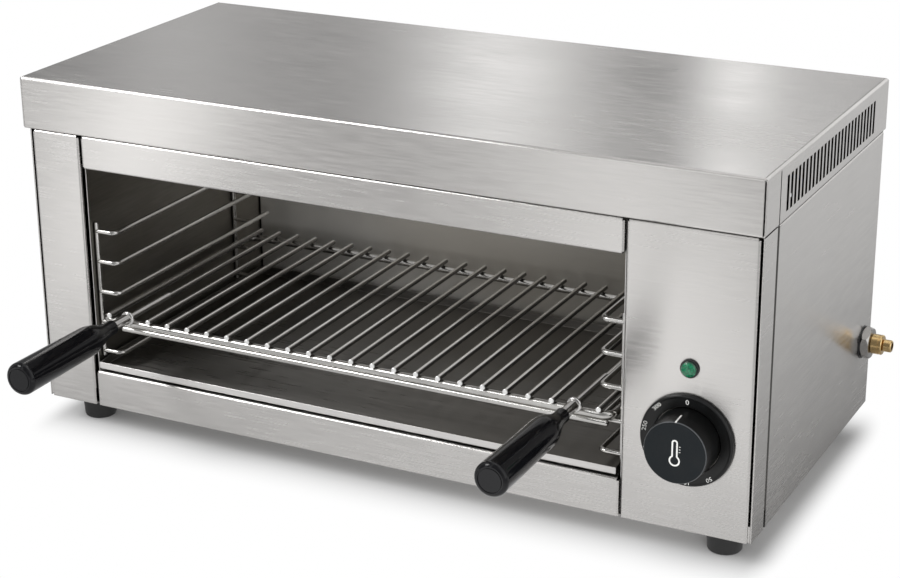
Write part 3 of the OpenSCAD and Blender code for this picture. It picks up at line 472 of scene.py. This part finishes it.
def rod_finish():
    """Plated rods, with a painted highlight along the top and painted shade down the flanks.
    Their sawn noses, at the very front, are bright and dull."""
    finish = Finish("rod_plate", Metallic=0.9)
    haze = finish.noise(finish.scaled((60, 14, 60)), 4.0, 0.6)
    scale = finish.noise(finish.scaled((500, 60, 500)), 2.0)
    nose = finish.under(finish.at("Y"), ROD_TIP + 1.2 * MM)
    # Painted highlight along the top and painted shade down the flanks, by the normal's Z
    lit_top = finish.ramp(finish.facing("Z"), 0.72, 0.9, smooth=True)
    plate = finish.mix(finish.ramp(haze, 0.35, 0.7), (0.96, 0.95, 0.93), (0.82, 0.8, 0.77))
    body = finish.mix(lit_top, (0.2, 0.19, 0.18), plate)
    finish.feed(finish.mix(nose, body, (0.95, 0.95, 0.94)), "Base Color")
    gloss = finish.ramp(haze, 0.3, 0.7, 0.16, 0.24)
    finish.feed(finish.plus(gloss, finish.times(nose, 0.25)), "Roughness")
    finish.bump(scale, 0.2, 0.02 * MM)
    return finish.material


def black_finish(name, rough_face, rough_side, gloss_level):
    """Moulded black. The knob's flat face is duller and bluer than its side, and the rounded edge
    between them is paler, a painted highlight."""
    finish = Finish(name, Specular_IOR_Level=gloss_level)
    face = finish.under(finish.at("Y"), KNOB_FACE + 0.05 * MM)
    grain, smears = finish.speckle(900, 3.0, 0.6), finish.speckle(70, 3.0, 0.6)
    plain = finish.mix(face, (0.004, 0.004, 0.004), (0.006, 0.0085, 0.0105))
    smeared = finish.mix(finish.ramp(smears, 0.45, 0.8, 0, 0.5), plain, (0.012, 0.013, 0.014))
    # Painted highlight: the rounded edge between face and side is paler
    forward = finish.times(finish.facing("Y"), -1)
    edge = finish.times(
        finish.ramp(forward, 0.3, 0.6, smooth=True),
        finish.ramp(forward, 0.8, 0.95, 1, 0, smooth=True),
        finish.under(finish.at("Y"), KNOB_FACE + 1.6 * MM),
    )
    finish.feed(finish.mix(edge, smeared, (0.075, 0.08, 0.085)), "Base Color")
    gloss = finish.ramp(grain, 0.3, 0.7, rough_side, rough_side + 0.06)
    finish.feed(finish.plus(gloss, finish.times(face, rough_face - rough_side)), "Roughness")
    finish.bump(grain, 0.25, 0.02 * MM)
    return finish.material


def lens_finish():
    """Clear dark green moulding, pebbled inside, in a nearly black rim."""
    finish = Finish(
        "lamp_green", Coat_Weight=0.9, Coat_Roughness=0.05, Roughness=0.25, Specular_IOR_Level=0.4
    )
    cells = finish.node("ShaderNodeTexVoronoi", feature="F1")
    cells.inputs["Scale"].default_value = 1.0
    finish.link(finish.scaled((620, 620, 620)), cells.inputs["Vector"])
    pebble = finish.ramp(cells.outputs["Distance"], 0.1, 0.7)
    green = finish.mix(pebble, (0.0, 0.19, 0.08), (0.0, 0.09, 0.04))
    radius = finish.length(
        finish.minus(finish.at("X"), LENS[0]), finish.minus(finish.at("Z"), LENS[2])
    )
    rim = finish.ramp(radius, LENS_RADIUS * 0.9, LENS_RADIUS * 0.95)
    finish.feed(finish.mix(rim, green, (0.002, 0.03, 0.016)), "Base Color")
    finish.bump(pebble, 0.4, 0.2 * MM)
    return finish.material


def print_finish():
    """White printed marks, slightly worn."""
    finish = Finish("white_print", Roughness=0.5)
    worn = finish.speckle(1500, 2.0)
    ink = finish.mix(finish.ramp(worn, 0.3, 0.6), (0.62, 0.62, 0.6), (0.85, 0.85, 0.83))
    finish.feed(ink, "Base Color")
    finish.bump(worn, 0.2, 0.01 * MM)
    return finish.material


# ------------------------------------------------------- dressed CAD nodes ----

dress(side_steel, "side_left", "side_right")
dress(stainless, "base_pan", "back_panel", "corner_post_left", "corner_post_right")
dress(stainless, "front_stile", "front_fascia", "front_sill", "control_panel")
dress(stainless, "tray_rail_left", "tray_rail_right")
dress(hood_steel, "hood")
dress(liner_steel, "cavity_left", "cavity_right")
dress(back_liner_steel, "cavity_back")
dress(roof_steel, "cavity_roof", "heater_hangers")
dress(tray_steel, "drip_tray")
dress(plated("rack_plate", (0.62, 0.61, 0.59), 0.16), "rack_left", "rack_right")
dress(plated("shelf_plate", (0.6, 0.59, 0.57), 0.15), "shelf_frame", "shelf_brace")
dress(rod_finish(), "shelf_rods")
dress(
    plated("handle_plate", (0.7, 0.69, 0.68), 0.1),
    "handle_rods", "handle_ferrules", "handle_collars", "thermostat_shaft",
)
dress(
    plated("zinc", (0.6, 0.6, 0.59), 0.3, 0.12, 0.2 * MM),
    "back_screws", "thermostat_screws", "foot_screws", "heater_nuts", "sensor_clips",
)
dress(plated("nickel", (0.42, 0.41, 0.4), 0.26, 0.1, 0.4 * MM), "gland_locknut", "gland_backnut")
dress(plated("turned_brass", (0.7, 0.5, 0.24), 0.16, 0.1, 0.3 * MM), "gland_body", "gland_cap")
dress(plated("copper", (0.75, 0.42, 0.28), 0.3), "sensor_bulb")
dress(plated("heater_sheath", (0.2, 0.18, 0.16), 0.5, 0.15), "heater_front", "heater_rear")
dress(grip_finish(), "grip_left", "grip_right")
dress(black_finish("knob_black", 0.55, 0.3, 0.25), "knob")
dress(black_finish("dial_black", 0.28, 0.28, 0.36), "dial_ring")
dress(lens_finish(), "lamp_lens")
dress(
    moulded("dark_plastic", (0.012, 0.012, 0.013), 0.35), "lamp_body", "lamp_nut", "gland_washer"
)
dress(moulded("case_plastic", (0.06, 0.055, 0.05), 0.5), "thermostat_body")
dress(moulded("white_plastic", (0.7, 0.69, 0.64), 0.45), "terminal_block")
dress(moulded("brown_sleeve", (0.13, 0.05, 0.02), 0.5), "wire_live")
dress(moulded("black_sleeve", (0.015, 0.015, 0.015), 0.5), "wire_heater")
dress(moulded("blue_sleeve", (0.02, 0.06, 0.25), 0.5), "wire_neutral")
dress(moulded("grey_sleeve", (0.3, 0.3, 0.3), 0.5), "wire_lamp")
dress(
    moulded("foot_rubber", (0.012, 0.012, 0.012), 0.5, 500, 0.05 * MM),
    "foot_front_left", "foot_front_right", "foot_rear_left", "foot_rear_right",
)

# ------------------------------------------- marks on the dial and knob ----

white_print = print_finish()


def ring_depth(radius):
    """How far forward the dished ring's face lies: in straight lines from its
    inner edge, 1.2 mm behind the rim, to the crest and up onto the rim."""
    radii = [25.2 * MM, 31.6 * MM, 32.6 * MM]
    return DIAL_FRONT + np.interp(radius, radii, [1.2 * MM, 0.3 * MM, 0])


def glyph_mesh(text, size):
    """Corners and faces of a text that lies in the XY plane, centred, and thick
    along Z."""
    curve = bpy.data.curves.new("figures", "FONT")
    curve.body, curve.size = text, size
    curve.align_x, curve.align_y = "CENTER", "CENTER"
    curve.extrude, curve.resolution_u = 0.5, 4
    flat = bpy.data.objects.new("figures", curve)
    scene.collection.objects.link(flat)
    bpy.context.view_layer.update()
    seen = flat.evaluated_get(bpy.context.evaluated_depsgraph_get())
    mesh = bpy.data.meshes.new_from_object(seen)
    bpy.data.objects.remove(flat)
    corners = np.zeros(len(mesh.vertices) * 3)
    mesh.vertices.foreach_get("co", corners)
    return corners.reshape(-1, 3), [list(polygon.vertices) for polygon in mesh.polygons]


def dial_figures():
    """Figures on the ring: each glyph's x is bent round the dial at the reading
    radius and its y is carried outwards, on the ring's cone. The zero stands at
    twelve o'clock, and the temperatures follow clockwise, 34 degrees apart."""
    lift, first, step = 0.06 * MM, 145, 34
    labels = [("0", 0, 28.7 * MM, 5.4 * MM, 1.0)]
    labels += [
        (str(50 * k), first + step * (k - 1), 31 * MM, 4 * MM, 1.25) for k in range(1, 7)
    ]
    points, faces, total = [], [], 0
    for text, clock, reading, size, spread in labels:
        glyph, polygons = glyph_mesh(text, size)
        radius = reading + glyph[:, 1]
        turn = np.radians(clock) + glyph[:, 0] * spread / reading
        depth = ring_depth(radius) + np.where(glyph[:, 2] > 0, -lift, lift)
        x, z = DIAL[0] + radius * np.sin(turn), DIAL[2] + radius * np.cos(turn)
        points.append(np.stack([x, depth, z], 1))
        faces += [[v + total for v in polygon] for polygon in polygons]
        total += len(glyph)
    piece = add_mesh("dial_figures", np.concatenate(points), faces)
    dress(white_print, piece)
    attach(piece, "cabinet")


def pointer():
    """White line along the knob at twelve o'clock: a ribbon whose path goes from
    the face back over the quarter-round edge and down the straight taper."""
    count, width, thick, sunk = 16, 1.2 * MM, 0.14 * MM, 0.05 * MM
    height, edge, taper = KNOB_BACK - KNOB_FACE, 1.4 * MM, 1 * MM
    skirt, line_start, line_end = 3.6 * MM, 0.35 * MM, 11 * MM
    depth = np.linspace(height - line_start, height - line_end, count)
    bend = np.clip((depth - height + edge) / edge, 0, 1)
    radius = KNOB_RADIUS - np.interp(depth, [skirt, height - edge], [0, taper])
    radius -= edge * (1 - np.sqrt(1 - bend**2))
    path = np.stack([np.full(count, DIAL[0]), KNOB_BACK - depth, DIAL[2] + radius - sunk], 1)
    piece = add_mesh("knob_pointer", *ribbon(path, (1, 0, 0), (0, 0, 1), width, thick, False))
    outward(piece)
    dress(white_print, piece)
    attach(piece, "knob")


def thermometer():
    """Outline of a thermometer on the knob's face: a ribbon round a bulb's arc
    and a stem with a half-round top, plus three short ticks beside the stem."""
    bulb, stem, bulb_z, stem_z = 3.5 * MM, 1.7 * MM, -5.7 * MM, 7.6 * MM
    tick_x, tick_z, tick_gap, tick_l = 3.1 * MM, 1.2 * MM, 2 * MM, 1.1 * MM
    stroke, tick_stroke, thick, sunk = 1.15 * MM, 0.45 * MM, 0.12 * MM, 0.05 * MM
    neck = np.arcsin(stem / bulb)
    lower = np.linspace(np.pi / 2 + neck, np.pi * 2.5 - neck, 40)
    upper = np.linspace(0, np.pi, 16)
    x = np.concatenate([bulb * np.cos(lower), stem * np.cos(upper)])
    z = np.concatenate([bulb_z + bulb * np.sin(lower), stem_z + stem * np.sin(upper)])
    centre = np.array([DIAL[0], KNOB_FACE + sunk, DIAL[2]])
    path = centre + np.stack([x, np.zeros(len(x)), z], 1)
    along = np.roll(path, -1, 0) - np.roll(path, 1, 0)
    along /= np.linalg.norm(along, axis=1, keepdims=True)
    front = np.array([0, -1.0, 0])
    points, polygons = ribbon(path, np.cross(along, front), front, stroke, thick, True)
    for k in range(3):
        start = centre + [tick_x, 0, tick_z + tick_gap * k]
        tick = np.stack([start, start + [tick_l, 0, 0]])
        corners, faces = ribbon(tick, (0, 0, 1), front, tick_stroke, thick, False)
        polygons += [[v + len(points) for v in face] for face in faces]
        points = np.concatenate([points, corners])
    piece = add_mesh("knob_pictogram", points, polygons)
    outward(piece)
    dress(white_print, piece)
    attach(piece, "knob")


dial_figures()
pointer()
thermometer()

# ---------------------------------------------------------------- studio ----

# Strips of light on the floor, as gloss sees them: place across, width, and
# brightness far from the object and near it
FLOOR_STRIPS = ((-0.31, 0.12, 1.8, 1.0), (0.31, 0.13, 1.2, 1.6))

# Upright bands of the wall, as gloss sees them: azimuth and width in degrees,
# with 0 straight behind the object, and brightness
WALL_BANDS = (
    (-35.0, 1.8, 0.4), (-26.0, 2.2, 1.25), (-19.2, 0.9, 1.7), (-16.3, 1.6, 0.3), (12, 13, 1.1),
    (-144, 3.0, 1.3), (-158.5, 3.5, 1.1), (100, 30, 1.3), (-95, 14, 0.5),
)

# Share of the floor's and the wall's plain light in what gloss and matt see
PLAIN = 0.55


def floor_glow(finish, away):
    """Light of the floor as gloss sees it: dim close to the object, then a pale
    floor with two strips, each a bell over run = x - 0.577 (y + 0.07). Beside the
    right wall it grows with x alone."""
    x, y = finish.at("X"), finish.at("Y")
    run = finish.minus(x, finish.times(finish.plus(y, 0.07), 0.577))
    glow = finish.ramp(y, -0.75, -0.5, 0.24, 0.36, smooth=True)
    for place, width, far_gain, near_gain in FLOOR_STRIPS:
        gain = finish.ramp(y, -0.7, -0.4, far_gain, near_gain)
        glow = finish.plus(glow, finish.times(finish.bell(run, place, width), gain))
    spread = finish.ramp(away, 0.08, 0.4, smooth=True)
    close = finish.times(finish.ramp(run, -0.28, 0.2, 0.45, 0.95), finish.minus(1, spread))
    ahead = finish.plus(finish.times(glow, spread), close)
    beside = finish.times(finish.over(x, HOOD_RIGHT), finish.over(y, HOOD_FRONT))
    aside = finish.times(beside, finish.ramp(x, 0.3, 0.5, 0.08, 0.74))
    return finish.plus(finish.times(ahead, finish.minus(1, beside)), aside)


def floor_finish():
    """Pale floor, with a painted shadow: its matt colour is darker under and beside the object.
    The camera sees it white away from the object, with the soft shadow kept beside it; gloss sees
    the floor's glow."""
    finish = Finish("floor_white")
    finish.tree.nodes.remove(finish.shader)
    matt, first = finish.node("ShaderNodeBsdfDiffuse"), finish.node("ShaderNodeMixShader")
    white, glow = finish.node("ShaderNodeEmission"), finish.node("ShaderNodeEmission")
    second = finish.node("ShaderNodeMixShader")
    rays = finish.node("ShaderNodeLightPath").outputs
    centre, half = middle("base_pan"), (high("base_pan") - low("base_pan")) / 2
    past, rise = [], []
    # Along X and Y: how far inside the floor sheet's print the shadow starts to
    # fade, and over what length
    for name, k, inside, soft in (("X", 0, 5 * MM, 25 * MM), ("Y", 1, 33 * MM, 69 * MM)):
        off = finish.size(finish.minus(finish.at(name), centre[k]))
        past.append(finish.math("MAXIMUM", finish.minus(off, half[k]), 0))
        fading = finish.math("MAXIMUM", finish.minus(off, half[k] - inside), 0)
        rise.append(finish.math("DIVIDE", fading, soft))
    faded = finish.length(*rise)
    # Painted shadow: the matt colour is darker under and beside the object, pale further out
    dark, pale = (0.65, 0.65, 0.65), (0.84, 0.84, 0.84)
    colour = finish.mix(finish.ramp(faded, 0, 1.3, smooth=True), dark, pale)
    finish.link(colour, matt.inputs["Color"])
    finish.link(floor_glow(finish, finish.length(*past)), glow.inputs["Strength"])
    seen_white = finish.times(rays["Is Camera Ray"], finish.ramp(faded, 0, 1, smooth=True))
    finish.link(seen_white, first.inputs[0])
    finish.link(matt.outputs[0], first.inputs[1])
    finish.link(white.outputs[0], first.inputs[2])
    finish.link(finish.times(rays["Is Glossy Ray"], PLAIN), second.inputs[0])
    finish.link(first.outputs[0], second.inputs[1])
    finish.link(glow.outputs[0], second.inputs[2])
    finish.link(second.outputs[0], finish.tree.nodes["Material Output"].inputs["Surface"])
    return finish.material


def studio_floor():
    """A flat round floor under the feet: the corners of its rim lie at equal turns
    on a circle."""
    count, radius = 96, 9
    turn = np.linspace(0, 2 * np.pi, count, endpoint=False)
    rim = np.stack([np.cos(turn), np.sin(turn), np.zeros(count)], 1) * radius
    floor = add_mesh("floor", rim, [list(range(count))])
    floor.data.materials.append(floor_finish())


def studio_world():
    """White room: plain white to the camera, and to gloss a soft wall whose
    brightness is a slow wave over the azimuth plus a bell for each band."""
    world = bpy.data.worlds.new("studio")
    world.use_nodes = True
    scene.world = world
    room = Wiring(world.node_tree)
    room.tree.nodes.clear()
    output, wall = room.node("ShaderNodeOutputWorld"), room.node("ShaderNodeBackground")
    rays = room.node("ShaderNodeLightPath").outputs
    camera, glossy = rays["Is Camera Ray"], rays["Is Glossy Ray"]
    way = room.node("ShaderNodeTexCoord").outputs["Generated"]
    angle = room.math("ARCTAN2", room.axis(way, "X"), room.axis(way, "Y"))
    azimuth = room.times(angle, 180 / np.pi)
    shine = room.plus(room.times(room.math("SINE", room.times(azimuth, 0.35)), 0.05), 0.3)
    for centre, width, gain in WALL_BANDS:
        shine = room.plus(shine, room.times(room.bell(azimuth, centre, width), gain))
    plain = room.times(room.minus(1.0, glossy), PLAIN)
    unseen = room.plus(plain, room.times(glossy, shine))
    strength = room.plus(camera, room.times(room.minus(1.0, camera), unseen))
    room.link(strength, wall.inputs["Strength"])
    wall.inputs["Color"].default_value = (1, 1, 1, 1)
    room.link(wall.outputs[0], output.inputs["Surface"])


def soft_light(name, place, target, width, height, power, in_gloss=True, in_view=True):
    """A large rectangular lamp that faces a point."""
    data = bpy.data.lights.new(name, "AREA")
    data.shape = "RECTANGLE"
    data.size, data.size_y, data.energy = width, height, power
    lamp = bpy.data.objects.new(name, data)
    lamp.location = place
    lamp.visible_glossy, lamp.visible_camera = in_gloss, in_view
    aim = Vector(target) - Vector(place)
    lamp.rotation_euler = aim.to_track_quat("-Z", "Y").to_euler()
    scene.collection.objects.link(lamp)


studio_floor()
studio_world()
soft_light("key", (-1.7, -1.5, 2.1), (0, 0, 0.15), 1.2, 1.0, 34)
soft_light("overhead", (0.2, 0.3, 2.4), (0, 0, 0.1), 2.0, 1.6, 8)
soft_light("fill", (1.4, -1.9, 0.42), (-0.1, 0.15, 0.14), 1.0, 0.6, 26, in_gloss=False)
soft_light("inner", (-0.034, 0.07, 0.186), (-0.034, 0.07, 0), 0.4, 0.18, 0.1, in_view=False)
